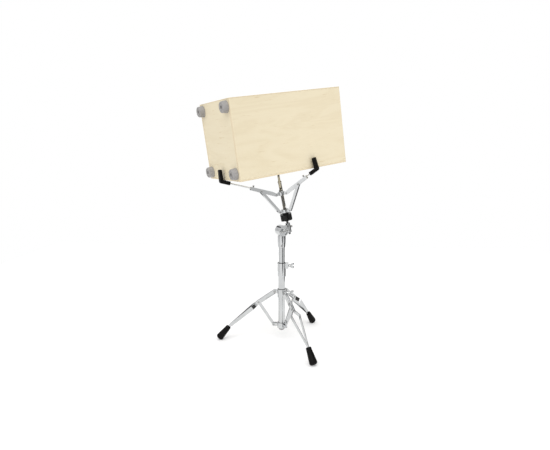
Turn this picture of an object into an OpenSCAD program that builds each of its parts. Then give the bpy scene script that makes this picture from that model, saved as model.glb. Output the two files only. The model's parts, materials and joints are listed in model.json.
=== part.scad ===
// Box drum on a folding basket stand.
// The drum lies on its long side in a three-arm basket that tilts on a braced tripod.

/* [Box drum] */
// Length of the box between its end faces
box_l = 482; // [460:2:500]
// Width of the box across its side panels
box_w = 290; // [280:2:300]
// Height of the box from port panel to striking panel
box_h = 300; // [280:5:320]
// Thickness of the side and end panels
panel_t = 12; // [9:1:15]
// Thickness of the thin striking panel on top
skin_t = 3; // [2.5:0.5:4]
// Thickness of the port panel underneath
port_panel_t = 6; // [5:1:9]
// Diameter of the sound port
port_d = 110; // [90:5:120]
// Diameter of a rubber foot of the box
box_foot_d = 45; // [42:1:50]
// Height of a rubber foot of the box
box_foot_h = 22; // [18:1:26]

/* [Basket] */
// Lean of the basket rod from vertical, in degrees
basket_tilt = 13.6; // [10:0.2:18]
// Slope of the basket arms above the hub plane, in degrees
arm_slope = 27; // [25:0.5:31]
// Radius of the left tip's corner from the basket rod
left_tip_r = 248; // [240:1:252]
// Height of the upper hub above the tilt axis, along the rod
hub_h = 151; // [148:1:156]
// Distance between the upper and the lower hub
hub_gap = 75.8; // [74:0.2:78]
// Diameter of the threaded basket rod
rod_d = 9.5; // [9:0.5:10]
// Diameter of the lobed adjuster nut
nut_d = 50; // [46:1:54]

/* [Column] */
// Height of the tilt axis above the floor
tilt_z = 489; // [480:1:500]
// Outer diameter of the lower tube
base_tube_d = 28.6; // [28:0.2:29]
// Outer diameter of the sliding upper tube
height_tube_d = 25.4; // [25:0.2:25.4]
// Wall thickness of the tubes
tube_wall = 1.5; // [1.3:0.1:1.5]

/* [Tripod] */
// Distance of a leg pivot from the column's axis
leg_pivot_r = 29.6; // [29:0.2:31]
// Height of the leg pivots above the floor
leg_pivot_z = 223.6; // [220:0.4:226]
// Distance of a rubber foot's top from the column's axis
boot_r = 232; // [228:1:240]
// Height of a rubber foot's top above the floor
boot_z = 59; // [57:1:61]
// Largest distance between the two strips of a leg
strip_spread = 40; // [34:1:44]

/* [Hidden] */

// The column stands beside the origin, which is under the middle of the object
axis_x = 38.9;
axis_y = 12.1;
// The basket and the box point this way about the column
basket_turn = 33.2;
// Directions of the three legs and of the three basket arms
LEFT_LEG = 180;
FRONT_LEG = 300;
REAR_LEG = 60;
LEFT_ARM = 180;
FRONT_ARM = 300;
REAR_ARM = 60;

fit = 0.05;
side_gap = 0.2;
round_fn = 64;

// Column
tube_bottom = 60;
base_tube_top = 318;
height_tube_bottom = 135;
height_tube_top = tilt_z - 35;
clamp_bottom = 292;
clamp_top = 350;
clamp_r = 17.5;
clamp_bolt_z = 338;
clamp_boss_end = 29;
bushing_r = 15.4;
bolt_d = 8;

// Leg collar and strut collar
leg_collar_bottom = 199;
leg_collar_top = 235;
leg_collar_r = 18;
leg_bolt_z = 216;
leg_boss_end = 27;
tongue_t = 6.6;
leg_pin_d = 6;
strut_pin_d = 5;
strut_collar_bottom = 63;
strut_collar_top = 86;
strut_collar_r = 19;
strut_foot_r = 34.3;
strut_foot_z = 76.8;
cheek_t = 3;

// Leg: the strut pivot and the run of the two strips
knee_r = 99.6;
knee_z = 174.4;
leg_slope = atan2(leg_pivot_z - boot_z, boot_r - leg_pivot_r);
leg_run = norm([boot_r - leg_pivot_r, leg_pivot_z - boot_z]);
strip_t = 2;
strip_h = 17;
strip_end_h = 13;
strip_inner = tongue_t / 2 + side_gap;
flare_start = 98;
flare_end = 119;
strut_l = norm([knee_r - strut_foot_r, knee_z - strut_foot_z]);
strut_angle = atan2(knee_z - strut_foot_z, knee_r - strut_foot_r);
strut_eye_t = 6.4;

// Rubber boot: a cone with a rounded end, cut flat where it stands
boot_slope = 50;
boot_top_r = 11;
boot_end_r = 16;
boot_round = 8;
sole_cut = 0.5;
boot_l = (boot_z - boot_round + sole_cut
    + (boot_end_r - boot_round) * -cos(boot_slope)
    + boot_round * sin(boot_slope)) / sin(boot_slope);
boot_socket = 24;

// Tilter
disc_r = 22.5;
disc_t = 18;
seam = 0.15;
neck_r = 16.5;
rod_x = 39;
rod_y = 9;
boss_r = 10;
boss_h = 40;

// Basket
hub_pivot_r = 26;
hub_r = 17;
hub_t = 14;
lower_hub_t = 13;
hub_tongue_t = 6.6;
basket_pin_d = 4;
eye_r = 6.5;
arm_wall = 1.5;
arm_half = hub_tongue_t / 2 + side_gap;
arm_outer = arm_half + arm_wall;
arm_top = 10;
arm_bottom = -6;
arm_l = 122;
arm_knee = 63.3 / cos(arm_slope);
arm_rod_d = 5.5;
arm_rod_lift = 5;
arm_rod_l = 141;
arm_screw_x = arm_l - 11;
arm_strut_inner = arm_outer + 0.15;
arm_strut_t = 1.8;
lower_tongue_t = 2 * arm_strut_inner - 0.4;
knee_drop = hub_gap + arm_knee * sin(arm_slope);
knee_out = arm_knee * cos(arm_slope);
arm_strut_l = norm([knee_out, knee_drop]);
arm_strut_angle = atan2(knee_drop, knee_out);
loose_pin_gap = 0.6;

// Rubber tips: a short leg on the rod and an upright that leans inward
tip_w = 19;
tip_t = 15;
tip_top_t = 11.5;
tip_leg_l = 36;
tip_upright_l = 46;
tip_lean = 6;
rest_gap = 0.4;
// Distance of the lower left edge of the box from the corner of the left tip
edge_gap = 15.3;

// Where a tip's corner sits along its arm, for a given distance from the rod
function tip_x(r) = (r - hub_pivot_r + arm_rod_lift * sin(arm_slope)) / cos(arm_slope);
// Height of the short leg's upper face above the tilt axis
function leg_top_h(r) = hub_h + (r - hub_pivot_r) * tan(arm_slope)
    + (arm_rod_lift + tip_t / 2) / cos(arm_slope);

// The side tips stop against the side panels
side_tip_r = (box_w / 2 + rest_gap + tip_w / 2 * sin(30)) / cos(30)
    + tip_upright_l * sin(tip_lean) + tip_top_t / 2 * cos(tip_lean);
// The lower left edge of the box rests on the short leg of the left tip
left_edge_x = edge_gap - left_tip_r;
left_edge_z = leg_top_h(-left_edge_x) + rest_gap;
// The lower long edges rest on the short legs of the side tips
side_rest_r = (box_w / 2 + tip_w / 2 * sin(30)) / cos(30);
side_rest_x = side_rest_r * cos(60) + tip_w / 2 * sin(60);
side_rest_z = leg_top_h(side_rest_r) + rest_gap;
box_lean = atan2(left_edge_z - side_rest_z, side_rest_x - left_edge_x);

// Box details
side_h = box_h - skin_t - port_panel_t;
foot_inset = 29;
snare_x = -90;
snare_l = 130;
snare_count = 10;
snare_pitch = 12;
snare_bar = 16;
screw_d = 4;
screw_inset = 7;

// ---------------------------------------------------------------- helpers

function unit(v) = v / norm(v);
function left_of(v) = [-v[1], v[0]];
// Mitred side direction of a path at point i
function side_at(path, i) =
    let (
        before = unit(i > 0 ? path[i] - path[i - 1] : path[1] - path[0]),
        after = unit(i < len(path) - 1 ? path[i + 1] - path[i] : path[i] - path[i - 1]),
        mean = unit(before + after)
    )
    left_of(mean) / (mean * before);
// Outline of a strip that follows a path, with its own width at each point
function ribbon(path, widths) = concat(
    [for (i = [0 : len(path) - 1]) path[i] + side_at(path, i) * widths[i] / 2],
    [for (i = [len(path) - 1 : -1 : 0]) path[i] - side_at(path, i) * widths[i] / 2]
);

// A cylinder along +X from x0 to x1
module x_rod(x0, x1, r) {
    translate([x0, 0, 0]) rotate([0, 90, 0]) cylinder(h = x1 - x0, r = r, $fn = round_fn);
}

// A cylinder along +Y from y0 to y1
module y_rod(y0, y1, r) {
    translate([0, y0, 0]) rotate([-90, 0, 0]) cylinder(h = y1 - y0, r = r, $fn = round_fn);
}

// A flat outline in the XZ plane, thick along Y and centred on it
module upright_plate(t) {
    rotate([90, 0, 0]) linear_extrude(height = t, center = true) children();
}

// A bar outline with round ends, from the origin to [l, 0]
module bar_outline(l, r) {
    circle(r = r, $fn = round_fn);
    translate([l, 0]) circle(r = r, $fn = round_fn);
    translate([0, -r]) square([l, 2 * r]);
}

// A headed pin along Y, with its shank and two flat heads
module headed_pin(d, head_y, head_d, head_t) {
    y_rod(-head_y, head_y, d / 2);
    y_rod(head_y, head_y + head_t, head_d / 2);
    y_rod(-head_y - head_t, -head_y, head_d / 2);
}

// The wings of a wing bolt or wing nut, in the XZ plane, from x = 0 outward
module wings(span, reach) {
    lobe = 6;
    for (side = [-1, 1])
        upright_plate(4) {
            translate([reach - lobe, side * (span / 2 - lobe)]) circle(r = lobe, $fn = round_fn);
            polygon([
                [0, side * 3],
                [0, side * 6],
                [reach - 2 * lobe, side * (span / 2 - lobe)],
                [reach - lobe, side * (span / 2 - 2 * lobe)]
            ]);
        }
}

// A wing bolt along +X: its tip is at x0 and its wings start at x1
module wing_bolt(x0, x1, span, reach) {
    x_rod(x0, x1, bolt_d / 2);
    x_rod(x1, x1 + 9, 7);
    translate([x1 + 4, 0, 0]) wings(span, reach);
}

// ---------------------------------------------------------------- frames

module at_column() {
    translate([axis_x, axis_y, 0]) children();
}

// Radial plane of a leg: X outward, Z up
module at_leg(angle) {
    at_column() rotate([0, 0, angle]) children();
}

// Leg's own frame: origin on the leg pivot, X down along the leg
module along_leg(angle) {
    at_leg(angle) translate([leg_pivot_r, 0, leg_pivot_z]) rotate([0, leg_slope, 0]) children();
}

// A point of the radial plane, seen in the leg's own frame
function on_leg(r, z) = [
    (r - leg_pivot_r) * cos(leg_slope) + (leg_pivot_z - z) * sin(leg_slope),
    (r - leg_pivot_r) * sin(leg_slope) - (leg_pivot_z - z) * cos(leg_slope)
];

// Tilt axis along Y at the origin
module at_tilter() {
    translate([axis_x, axis_y, tilt_z]) rotate([0, 0, basket_turn]) children();
}

// Tilted frame that the tilter's head, the basket and the box share
module at_head() {
    at_tilter() rotate([0, -basket_tilt, 0]) children();
}

module at_basket() {
    at_head() translate([rod_x, rod_y, 0]) children();
}

// Arm's own frame: origin on the hub pivot, X along the arm
module along_arm(angle) {
    at_basket() rotate([0, 0, angle]) translate([hub_pivot_r, 0, hub_h]) rotate([0, -arm_slope, 0])
        children();
}

// Box's own frame: origin in the middle of the box
module at_box() {
    at_basket() translate([left_edge_x, 0, left_edge_z]) rotate([0, box_lean, 0])
        translate([box_l / 2, 0, box_h / 2]) children();
}

// ---------------------------------------------------------------- column

module base_tube() {
    color("silver") at_column() difference() {
        translate([0, 0, tube_bottom])
            cylinder(h = base_tube_top - tube_bottom, d = base_tube_d, $fn = round_fn);
        translate([0, 0, tube_bottom - 1])
            cylinder(h = base_tube_top - tube_bottom + 2, r = height_tube_d / 2 + fit, $fn = round_fn);
    }
}

module tube_plug() {
    color("black") at_column() {
        translate([0, 0, tube_bottom - 5]) cylinder(h = 5, r1 = 11, r2 = base_tube_d / 2, $fn = round_fn);
        translate([0, 0, tube_bottom]) cylinder(h = 8, r = height_tube_d / 2, $fn = round_fn);
    }
}

module strut_collar() {
    color("silver") at_column() difference() {
        union() {
            translate([0, 0, strut_collar_bottom])
                cylinder(h = strut_collar_top - strut_collar_bottom, r = strut_collar_r, $fn = round_fn);
            for (angle = [LEFT_LEG, FRONT_LEG, REAR_LEG])
                rotate([0, 0, angle]) strut_fork();
        }
        translate([0, 0, strut_collar_bottom - 1])
            cylinder(h = 40, d = base_tube_d, $fn = round_fn);
        for (angle = [LEFT_LEG, FRONT_LEG, REAR_LEG])
            rotate([0, 0, angle]) translate([strut_foot_r, 0, strut_foot_z])
                y_rod(-10, 10, strut_pin_d / 2);
    }
}

// Two cheeks that hold the foot of a leg strut
module strut_fork() {
    cheek_y = strut_eye_t / 2 + side_gap + cheek_t / 2;
    for (side = [-1, 1])
        translate([0, side * cheek_y, 0]) upright_plate(cheek_t) {
            translate([strut_foot_r, strut_foot_z]) circle(r = 7, $fn = round_fn);
            translate([strut_collar_r - 3, strut_foot_z - 7]) square([strut_foot_r - strut_collar_r + 3, 14]);
        }
}

// Two short pins in each fork, one through each cheek; a strut's eye lies between them
module strut_collar_pins() {
    inner_y = strut_eye_t / 2 + side_gap;
    head_y = inner_y + cheek_t;
    color("dimgray") at_column()
        for (angle = [LEFT_LEG, FRONT_LEG, REAR_LEG], side = [0, 1])
            rotate([0, 0, angle]) translate([strut_foot_r, 0, strut_foot_z]) mirror([0, side, 0]) {
                y_rod(inner_y, head_y, strut_pin_d / 2);
                y_rod(head_y, head_y + 1, 4);
            }
}

module leg_collar() {
    color("silver") at_column() difference() {
        union() {
            translate([0, 0, leg_collar_bottom])
                cylinder(h = leg_collar_top - leg_collar_bottom, r = leg_collar_r, $fn = round_fn);
            for (angle = [LEFT_LEG, FRONT_LEG, REAR_LEG])
                rotate([0, 0, angle]) leg_tongue();
            translate([0, 0, leg_bolt_z]) x_rod(base_tube_d / 2 + 1, leg_boss_end, 8);
        }
        translate([0, 0, leg_collar_bottom - 1])
            cylinder(h = 60, r = base_tube_d / 2 + fit, $fn = round_fn);
        translate([0, 0, leg_bolt_z]) x_rod(10, leg_boss_end + 1, bolt_d / 2 + fit);
        for (angle = [LEFT_LEG, FRONT_LEG, REAR_LEG])
            rotate([0, 0, angle]) translate([leg_pivot_r, 0, leg_pivot_z])
                y_rod(-10, 10, leg_pin_d / 2 + fit);
    }
}

// A plate that carries a leg's pivot
module leg_tongue() {
    upright_plate(tongue_t) {
        translate([leg_pivot_r, leg_pivot_z]) circle(r = strip_h / 2, $fn = round_fn);
        translate([leg_collar_r - 3, leg_pivot_z - strip_h / 2])
            square([leg_pivot_r - leg_collar_r + 3, strip_h]);
    }
}

module leg_collar_wing_bolt() {
    color("silver") at_column() translate([0, 0, leg_bolt_z])
        wing_bolt(base_tube_d / 2 + 0.1, leg_boss_end + 1, 30, 20);
}

// ---------------------------------------------------------------- legs

// Side view of a strip: a round head at the leg pivot and a tapered run to the boot
module strip_profile() {
    knee = on_leg(knee_r, knee_z);
    socket = on_leg(boot_r + boot_socket * cos(boot_slope), boot_z - boot_socket * sin(boot_slope));
    circle(r = strip_h / 2 + 0.5, $fn = round_fn);
    polygon(ribbon(
        [[0, 0], knee, [leg_run, 0], socket],
        [strip_h, strip_h, strip_end_h, strip_end_h - 1]
    ));
}

// Top view of one strip: close to the tongue, flared past the strut, joined at the boot
function strip_plan() = [
    [-strip_h, strip_inner + strip_t / 2],
    [flare_start, strip_inner + strip_t / 2],
    [flare_end, strip_spread / 2 - strip_t / 2],
    [leg_run - 6, strip_t / 2 + 0.1],
    [leg_run + boot_socket + 10, strip_t / 2 + 0.1]
];

module leg_strips(angle) {
    knee = on_leg(knee_r, knee_z);
    color("silver") along_leg(angle) difference() {
        intersection() {
            upright_plate(strip_spread + 10) strip_profile();
            for (side = [0, 1])
                mirror([0, side, 0]) linear_extrude(height = 100, center = true)
                    polygon(ribbon(strip_plan(), [for (p = strip_plan()) strip_t]));
        }
        y_rod(-10, 10, leg_pin_d / 2);
        translate([knee[0], 0, knee[1]]) y_rod(-10, 10, strut_pin_d / 2);
    }
}

module leg_rivets(angle) {
    knee = on_leg(knee_r, knee_z);
    head_y = strip_inner + strip_t;
    color("dimgray") along_leg(angle) {
        headed_pin(leg_pin_d, head_y, 11, 1.5);
        translate([knee[0], 0, knee[1]]) headed_pin(strut_pin_d, head_y, 9, 1.2);
    }
}

module boot(angle) {
    color("black") at_leg(angle) difference() {
        translate([boot_r, 0, boot_z]) rotate([0, 90 + boot_slope, 0])
            rotate_extrude($fn = round_fn) boot_profile();
        translate([boot_r, 0, boot_z]) rotate([0, boot_slope, 0])
            translate([-5, -2.4, -strip_end_h / 2 - 0.6])
                cube([boot_socket + 7, 4.8, strip_end_h + 1.2]);
        translate([0, -50, -50]) cube([400, 100, 50]);
    }
}

// Half section of the boot: radius across, length up
module boot_profile() {
    top_round = 3;
    union() {
        polygon([
            [0, 0],
            [boot_top_r - top_round, 0],
            [boot_top_r, top_round],
            [boot_end_r, boot_l - boot_round],
            [boot_end_r - boot_round, boot_l - boot_round],
            [boot_end_r - boot_round, boot_l],
            [0, boot_l]
        ]);
        intersection() {
            translate([boot_end_r - boot_round, boot_l - boot_round])
                circle(r = boot_round, $fn = round_fn);
            translate([boot_end_r - boot_round, boot_l - boot_round])
                square(boot_round + 1);
        }
        intersection() {
            translate([boot_top_r - top_round, top_round]) circle(r = top_round, $fn = round_fn);
            square(boot_top_r + 1);
        }
    }
}

module leg_strut(angle) {
    color("silver") at_leg(angle) translate([strut_foot_r, 0, strut_foot_z])
        rotate([0, -strut_angle, 0]) difference() {
            union() {
                upright_plate(3) bar_outline(strut_l, 6);
                for (x = [0, strut_l])
                    translate([x, 0, 0]) upright_plate(strut_eye_t) circle(r = 6.5, $fn = round_fn);
            }
            for (x = [0, strut_l])
                translate([x, 0, 0]) y_rod(-10, 10, strut_pin_d / 2 + fit);
        }
}

// ---------------------------------------------------------------- clamp and upper tube

module tube_clamp() {
    color("silver") at_column() difference() {
        union() {
            translate([0, 0, clamp_bottom])
                cylinder(h = clamp_top - clamp_bottom, r = clamp_r, $fn = round_fn);
            translate([0, 0, clamp_top - 3]) cylinder(h = 3, r = clamp_r + 1.5, $fn = round_fn);
            translate([base_tube_d / 2 + 1, -9, clamp_bolt_z - 12])
                cube([clamp_boss_end - base_tube_d / 2 - 1, 18, 24]);
        }
        translate([0, 0, clamp_bottom - 1])
            cylinder(h = clamp_top - clamp_bottom + 2, d = base_tube_d, $fn = round_fn);
        translate([0, 0, base_tube_top]) cylinder(h = 60, r = bushing_r, $fn = round_fn);
        translate([0, 0, clamp_bolt_z]) x_rod(10, clamp_boss_end + 1, bolt_d / 2 + fit);
    }
}

module clamp_bushing() {
    color("dimgray") at_column() difference() {
        translate([0, 0, base_tube_top])
            cylinder(h = clamp_top - base_tube_top, r = bushing_r, $fn = round_fn);
        translate([0, 0, base_tube_top - 1])
            cylinder(h = 60, r = height_tube_d / 2 + fit, $fn = round_fn);
    }
}

module clamp_wing_bolt() {
    color("silver") at_column() translate([0, 0, clamp_bolt_z])
        wing_bolt(bushing_r + 0.1, clamp_boss_end + 2, 26, 18);
}

module height_tube() {
    color("silver") at_column() difference() {
        translate([0, 0, height_tube_bottom])
            cylinder(h = height_tube_top - height_tube_bottom, d = height_tube_d, $fn = round_fn);
        translate([0, 0, height_tube_bottom - 1])
            cylinder(h = 400, r = height_tube_d / 2 - tube_wall, $fn = round_fn);
    }
}

// ---------------------------------------------------------------- tilter

module tilter_base() {
    tube_top = height_tube_top - tilt_z;
    color("silver") at_tilter() difference() {
        union() {
            y_rod(-disc_t, -seam, disc_r);
            translate([0, 0, -71]) cylinder(h = 25, r1 = neck_r - 2, r2 = neck_r, $fn = round_fn);
            translate([0, 0, -46]) cylinder(h = 36, r = neck_r, $fn = round_fn);
        }
        y_rod(-seam, 30, disc_r + 3);
        difference() {
            y_rod(-disc_t - 1, -disc_t + 3, disc_r - 4);
            y_rod(-disc_t - 2, -disc_t + 4, 9);
        }
        y_rod(-30, 30, bolt_d / 2 + fit);
        translate([0, 0, -80]) cylinder(h = tube_top + 80, d = height_tube_d, $fn = round_fn);
        at_key_screw() y_rod(-30, 0, 2.5);
    }
}

// The screw that holds the tilter on the upper tube
module at_key_screw() {
    translate([0, 0, -64]) rotate([0, 0, -28]) children();
}

module tilter_base_screw() {
    color("dimgray") at_tilter() at_key_screw() {
        y_rod(-17, -height_tube_d / 2, 2.5);
        y_rod(-20, -17, 4.5);
    }
}

module tilter_head() {
    color("silver") at_head() difference() {
        union() {
            y_rod(seam, disc_t, disc_r);
            translate([8, 3, -13]) cube([rod_x - 8, 12, 26]);
            translate([rod_x, rod_y, -boss_h / 2]) cylinder(h = boss_h, r = boss_r, $fn = round_fn);
        }
        y_rod(-1, 30, bolt_d / 2);
        translate([rod_x, rod_y, -boss_h]) cylinder(h = 2 * boss_h, r = rod_d / 2 + fit, $fn = round_fn);
        translate([rod_x, rod_y, 0]) x_rod(0, 20, 3);
    }
}

module tilter_bolt() {
    color("dimgray") at_head() {
        y_rod(-29, disc_t, bolt_d / 2);
        y_rod(disc_t, disc_t + 5, 8);
    }
}

module tilter_wing_nut() {
    hub_y = disc_t + 1;
    color("silver") at_head() difference() {
        union() {
            y_rod(-hub_y - 8, -hub_y + 0.8, 7.5);
            translate([0, -hub_y - 2, 0]) rotate([0, 0, -90]) rotate([90, 0, 0]) wings(36, 13);
        }
        y_rod(-60, 0, bolt_d / 2 + fit);
    }
}

module rod_screw() {
    color("dimgray") at_head() translate([rod_x, rod_y, 0]) {
        x_rod(rod_d / 2 + 0.1, boss_r + 2, 3);
        x_rod(boss_r + 2, boss_r + 8, 4.5);
    }
}

// ---------------------------------------------------------------- basket

module basket_rod() {
    color("silver") at_basket() translate([0, 0, -30])
        cylinder(h = hub_h + 30 + 12, d = rod_d, $fn = round_fn);
}

module upper_hub() {
    color("silver") at_basket() translate([0, 0, hub_h]) difference() {
        union() {
            translate([0, 0, -hub_t / 2]) cylinder(h = hub_t, r = hub_r - 3, $fn = round_fn);
            for (angle = [LEFT_ARM, FRONT_ARM, REAR_ARM])
                rotate([0, 0, angle]) upright_plate(hub_tongue_t) bar_outline(hub_pivot_r, 5.5);
        }
        translate([0, 0, -20]) cylinder(h = 40, d = rod_d, $fn = round_fn);
        for (angle = [LEFT_ARM, FRONT_ARM, REAR_ARM])
            rotate([0, 0, angle]) translate([hub_pivot_r, 0, 0]) y_rod(-10, 10, basket_pin_d / 2);
    }
}

module upper_hub_pins() {
    color("dimgray") at_basket() translate([0, 0, hub_h])
        for (angle = [LEFT_ARM, FRONT_ARM, REAR_ARM])
            rotate([0, 0, angle]) translate([hub_pivot_r, 0, 0])
                headed_pin(basket_pin_d, arm_outer + 0.1, 7, 1.2);
}

module rod_cap_nut() {
    color("silver") at_basket() translate([0, 0, hub_h + hub_t / 2]) difference() {
        union() {
            cylinder(h = 7, r = 8.5, $fn = 6);
            translate([0, 0, 7]) cylinder(h = 3, r1 = 7, r2 = 4, $fn = round_fn);
        }
        translate([0, 0, -1]) cylinder(h = 13 - hub_t / 2, d = rod_d, $fn = round_fn);
    }
}

module lower_hub() {
    color("silver") at_basket() translate([0, 0, hub_h - hub_gap]) difference() {
        union() {
            translate([0, 0, -lower_hub_t / 2]) cylinder(h = lower_hub_t, r = hub_r - 2, $fn = round_fn);
            for (angle = [LEFT_ARM, FRONT_ARM, REAR_ARM])
                rotate([0, 0, angle]) upright_plate(lower_tongue_t) bar_outline(hub_pivot_r, 5.5);
        }
        translate([0, 0, -20]) cylinder(h = 40, r = rod_d / 2 + fit, $fn = round_fn);
        for (angle = [LEFT_ARM, FRONT_ARM, REAR_ARM])
            rotate([0, 0, angle]) translate([hub_pivot_r, 0, 0]) y_rod(-10, 10, basket_pin_d / 2);
    }
}

module lower_hub_pins() {
    color("dimgray") at_basket() translate([0, 0, hub_h - hub_gap])
        for (angle = [LEFT_ARM, FRONT_ARM, REAR_ARM])
            rotate([0, 0, angle]) translate([hub_pivot_r, 0, 0])
                headed_pin(basket_pin_d, arm_strut_inner + arm_strut_t + 0.1, 7, 1.2);
}

module adjuster_nut() {
    top = hub_h - hub_gap - lower_hub_t / 2 - 0.1;
    body_top = top - 8;
    body_h = 27;
    lobes = 6;
    color("black") at_basket() difference() {
        union() {
            translate([0, 0, body_top - body_h]) cylinder(h = body_h, d = nut_d, $fn = round_fn);
            translate([0, 0, body_top]) cylinder(h = 8, r = 13, $fn = round_fn);
            translate([0, 0, body_top - body_h - 3]) cylinder(h = 3, r1 = 11, r2 = 15, $fn = round_fn);
        }
        for (i = [0 : lobes - 1])
            rotate([0, 0, (i + 0.5) * 360 / lobes]) translate([nut_d / 2 + 5, 0, 0])
                cylinder(h = 100, r = 9, $fn = round_fn);
        cylinder(h = 100, r = rod_d / 2 + fit, $fn = round_fn);
    }
}

// Side view of an arm: round at the hub pivot, full height further out
module arm_profile() {
    circle(r = eye_r, $fn = round_fn);
    polygon([[0, -eye_r], [arm_l, arm_bottom + 3], [arm_l, arm_top], [24, arm_top], [0, eye_r]]);
}

module arm(angle) {
    guide_l = 24;
    color("silver") along_arm(angle) difference() {
        union() {
            difference() {
                upright_plate(2 * arm_outer) arm_profile();
                translate([-20, -arm_half, -20]) cube([200, 2 * arm_half, 20 + arm_top - arm_wall]);
            }
            translate([arm_l - guide_l, -arm_half - 0.5, 1])
                cube([guide_l, 2 * arm_half + 1, arm_top - 1.5]);
        }
        y_rod(-10, 10, basket_pin_d / 2 + fit);
        translate([arm_knee, 0, 0]) y_rod(-10, 10, basket_pin_d / 2);
        translate([0, 0, arm_rod_lift]) x_rod(arm_l - guide_l - 1, arm_l + 1, arm_rod_d / 2 + fit);
        translate([arm_screw_x, 0, arm_rod_lift]) cylinder(h = 20, r = 2, $fn = round_fn);
    }
}

module arm_fasteners(angle) {
    color("dimgray") along_arm(angle) {
        translate([arm_knee, 0, 0])
            headed_pin(basket_pin_d, arm_strut_inner + arm_strut_t + 0.1, 7, 1.2);
        translate([arm_screw_x, 0, arm_rod_lift + arm_rod_d / 2 + 0.05]) {
            cylinder(h = 5, r = 2, $fn = round_fn);
            translate([0, 0, 3.5]) cylinder(h = 2, r = 4, $fn = round_fn);
            translate([-2.5, -2.5, 5.5]) cube([5, 5, 5]);
        }
    }
}

module arm_strut(angle) {
    web_end = 16;
    color("silver") along_arm(angle) translate([arm_knee, 0, 0])
        rotate([0, arm_slope + 180 - arm_strut_angle, 0]) difference() {
            upright_plate(2 * (arm_strut_inner + arm_strut_t)) bar_outline(arm_strut_l, 5.5);
            translate([web_end, -arm_strut_inner, -20 + 3.7])
                cube([arm_strut_l - 2 * web_end, 2 * arm_strut_inner, 20]);
            translate([-20, -arm_strut_inner, -20]) cube([20 + web_end, 2 * arm_strut_inner, 40]);
            translate([arm_strut_l - web_end, -arm_strut_inner, -20])
                cube([40, 2 * arm_strut_inner, 40]);
            y_rod(-20, 20, basket_pin_d / 2 + fit);
            translate([arm_strut_l, 0, 0]) y_rod(-20, 20, basket_pin_d / 2 + loose_pin_gap);
        }
}

module arm_rod(angle, corner_r) {
    color("silver") along_arm(angle) translate([tip_x(corner_r) - arm_rod_l, 0, arm_rod_lift])
        x_rod(0, arm_rod_l - 2, arm_rod_d / 2);
}

// Side view of a tip, with its corner at the origin and its short leg along -X
module tip_profile() {
    lean = arm_slope - tip_lean;
    top = tip_upright_l * [sin(lean), cos(lean)];
    polygon(ribbon([[-tip_leg_l, 0], [0, 0], top], [tip_t - 1, tip_t, tip_top_t]));
}

module tip(angle, corner_r) {
    color("black") along_arm(angle) translate([tip_x(corner_r), 0, arm_rod_lift]) difference() {
        upright_plate(tip_w) tip_profile();
        x_rod(-tip_leg_l - 1, -2, arm_rod_d / 2);
    }
}

// ---------------------------------------------------------------- box drum

module striking_panel() {
    color("wheat") at_box() difference() {
        translate([-box_l / 2, -box_w / 2, box_h / 2 - skin_t]) cube([box_l, box_w, skin_t]);
        at_skin_screws() translate([0, 0, -2]) cylinder(h = 2.5, r1 = 2, r2 = 4.5, $fn = round_fn);
    }
}

module port_panel() {
    color("wheat") at_box() difference() {
        translate([-box_l / 2, -box_w / 2, -box_h / 2]) cube([box_l, box_w, port_panel_t]);
        translate([0, 0, -box_h / 2 - 1]) cylinder(h = port_panel_t + 2, d = port_d, $fn = round_fn);
    }
}

module side_panel(y) {
    color("cornsilk") at_box() translate([-box_l / 2, y, port_panel_t - box_h / 2])
        cube([box_l, panel_t, side_h]);
}

module end_panel(x) {
    color("cornsilk") at_box() translate([x, -box_w / 2 + panel_t, port_panel_t - box_h / 2])
        cube([panel_t, box_w - 2 * panel_t, side_h]);
}

module snare_wires() {
    skin_z = box_h / 2 - skin_t;
    span = box_w - 2 * panel_t;
    color("silver") at_box() {
        translate([snare_x - snare_bar, -span / 2, skin_z - 1.2 - snare_bar])
            cube([snare_bar, span, snare_bar]);
        for (i = [0 : snare_count - 1])
            translate([snare_x, (i - (snare_count - 1) / 2) * snare_pitch, skin_z - 2.5])
                x_rod(-3, snare_l, 0.9);
    }
}

module box_feet() {
    color("gray") at_box()
        for (y = [-1, 1], z = [-1, 1])
            translate([-box_l / 2, y * (box_w / 2 - foot_inset), z * (box_h / 2 - foot_inset)])
                rotate([0, -90, 0]) box_foot();
}

// A rubber foot with a rounded rim and a recess for its screw
module box_foot() {
    rim = 4;
    difference() {
        rotate_extrude($fn = round_fn) {
            polygon([
                [0, 0],
                [box_foot_d / 2, 0],
                [box_foot_d / 2 - 2, box_foot_h - rim],
                [box_foot_d / 2 - 2 - rim, box_foot_h - rim],
                [box_foot_d / 2 - 2 - rim, box_foot_h],
                [0, box_foot_h]
            ]);
            intersection() {
                translate([box_foot_d / 2 - 2 - rim, box_foot_h - rim]) circle(r = rim, $fn = round_fn);
                translate([box_foot_d / 2 - 2 - rim, box_foot_h - rim]) square(rim + 1);
            }
        }
        translate([0, 0, 10]) cylinder(h = 40, r = 7, $fn = round_fn);
        translate([0, 0, -1]) cylinder(h = 40, d = screw_d, $fn = round_fn);
    }
}

module box_screws() {
    color("dimgray") at_box() {
        for (y = [-1, 1], z = [-1, 1])
            translate([-box_l / 2, y * (box_w / 2 - foot_inset), z * (box_h / 2 - foot_inset)]) {
                x_rod(-10, 0, screw_d / 2);
                x_rod(-13, -10, 4);
            }
        at_skin_screws() translate([0, 0, -2]) cylinder(h = 2, r1 = 2, r2 = 4, $fn = round_fn);
    }
}

// The places of the flush screws in the striking panel
module at_skin_screws() {
    for (x = [-2 : 2], y = [-1, 1])
        translate([x * (box_l / 4 - screw_inset / 2), y * (box_w / 2 - screw_inset), box_h / 2]) children();
    for (x = [-1, 1])
        translate([x * (box_l / 2 - screw_inset), 0, box_h / 2]) children();
}

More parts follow.
